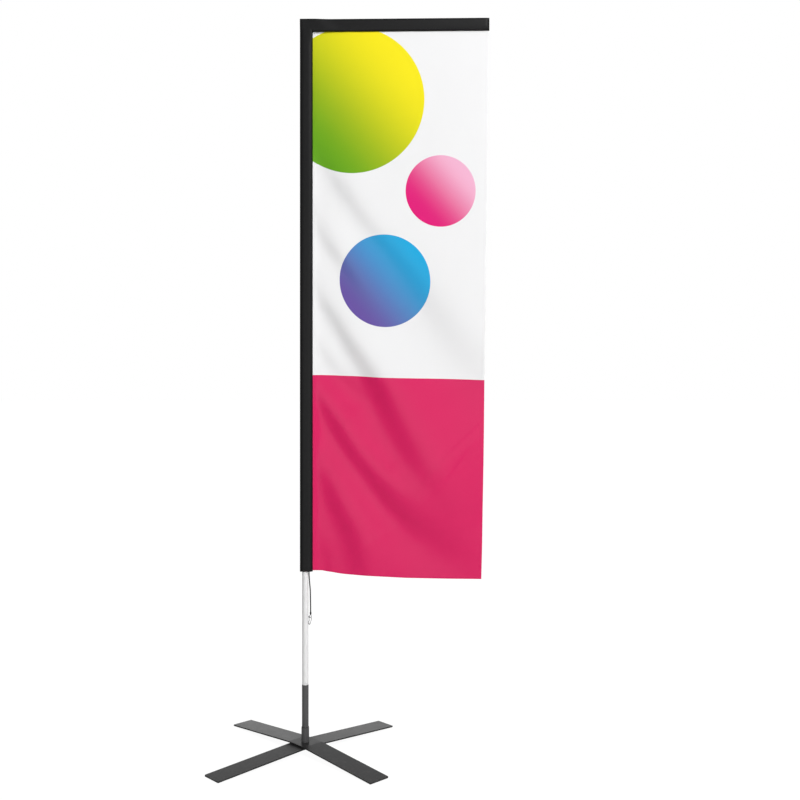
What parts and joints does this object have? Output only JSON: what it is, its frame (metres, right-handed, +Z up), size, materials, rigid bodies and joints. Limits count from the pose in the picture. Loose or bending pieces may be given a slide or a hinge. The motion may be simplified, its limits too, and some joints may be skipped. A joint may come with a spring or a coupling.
{
  "type": "banner flag on cross base",
  "caption": "Tall rectangular banner flag on a pole with a level top arm, turning in a spindle on a folding flat-bar cross base.",
  "frame": {"origin": "the point on the floor under the pole's axis, level with the undersides of the four foot pads", "axes": "+Z up along the pole, +X along the top arm towards the flag's free edge, +Y towards the flag's back"},
  "size_m": [0.9804, 0.6218, 2.663],
  "materials": {
    "bar_steel": "satin",
    "tube_steel": "satin",
    "pole_white": "satin",
    "aluminium_plain": "satin",
    "steel_plain": "satin",
    "wire_bright": "polished",
    "plastic_black": "matte",
    "plastic_pale": "satin",
    "pad_rubber": "matte",
    "cloth_black": "matte",
    "cloth_print": "matte",
    "cord_black": "matte"
  },
  "bodies": {
    "base_lower": {"lower_bar": "bar_steel", "foot_pad_lower_left": "pad_rubber", "foot_pad_lower_right": "pad_rubber", "slip_disc": "plastic_black"},
    "base_upper": {"upper_bar": "bar_steel", "foot_pad_upper_left": "pad_rubber", "foot_pad_upper_right": "pad_rubber", "bolt_washer": "steel_plain", "pivot_bolt": "steel_plain", "spindle_housing": "tube_steel", "housing_plug": "steel_plain", "lower_bush": "plastic_pale", "upper_bush": "plastic_black"},
    "spindle": {"spindle_stem": "steel_plain", "retaining_clip": "steel_plain", "socket_tube": "tube_steel"},
    "mast": {"pole_spigot": "aluminium_plain", "pole_section_1": "pole_white", "pole_section_2": "pole_white", "pole_section_3": "pole_white", "pole_joiner_1": "aluminium_plain", "pole_joiner_2": "aluminium_plain", "corner_piece": "plastic_black", "top_arm": "pole_white", "arm_cap": "plastic_black", "pole_sleeve": "cloth_black", "top_pocket": "cloth_black", "flag_panel": "cloth_print", "cord_tab": "cloth_black", "tension_cord": "cord_black", "cord_knot": "cord_black", "cord_ring": "wire_bright", "spring_hook": "wire_bright", "gate_pin": "wire_bright", "pole_eye": "wire_bright"},
    "gate": {"hook_gate": "wire_bright"}
  },
  "joints": [
    {"name": "base_fold", "type": "hinge", "parent": "base_lower", "child": "base_upper", "pos_m": [0, 0, 0.028], "axis": [0, 0, 1], "range_deg": [-54, 54]},
    {"name": "spindle_spin", "type": "hinge", "parent": "base_upper", "child": "spindle", "pos_m": [0, 0, 0.087], "axis": [0, 0, 1], "continuous": true},
    {"name": "mast_lift", "type": "slide", "parent": "spindle", "child": "mast", "axis": [0, 0, 1], "range_m": [0, 0.137]},
    {"name": "gate_swing", "type": "hinge", "parent": "mast", "child": "gate", "pos_m": [0.0138, 0, 0.487], "axis": [0, -1, 0], "range_deg": [0, 14], "stiffness_Nm_per_rad": 0.004, "springref_deg": -5.73}
  ]
}
